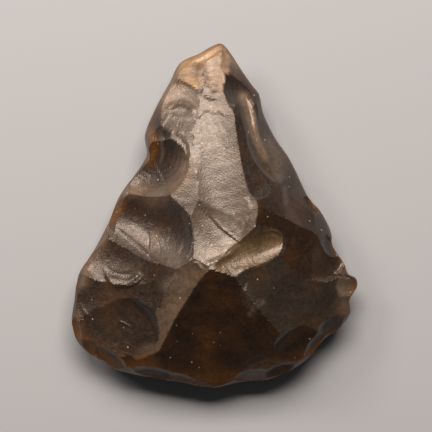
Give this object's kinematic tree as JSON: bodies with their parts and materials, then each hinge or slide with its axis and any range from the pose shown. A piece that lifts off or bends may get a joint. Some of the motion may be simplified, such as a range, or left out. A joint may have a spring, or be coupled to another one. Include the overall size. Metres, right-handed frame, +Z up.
{
  "type": "stone hand axe",
  "caption": "Pear-shaped flint hand axe, flaked over both faces to a point, with a ridged upper face and a flatter one that it lies on.",
  "frame": {"origin": "centre of the bounding box, on the ground under the flat spot the axe lies on", "axes": "+Y from the round butt to the tip, +Z up through the ridged face, +X to the right seen from above with the tip away"},
  "size_m": [0.0954, 0.115, 0.031],
  "materials": {
    "flint": "dark brown flint with a satin sheen, greyer on the fresh ridges, amber along the thin edges and cream at the tip"
  },
  "bodies": {
    "root": {"hand_axe": "flint"}
  },
  "joints": []
}
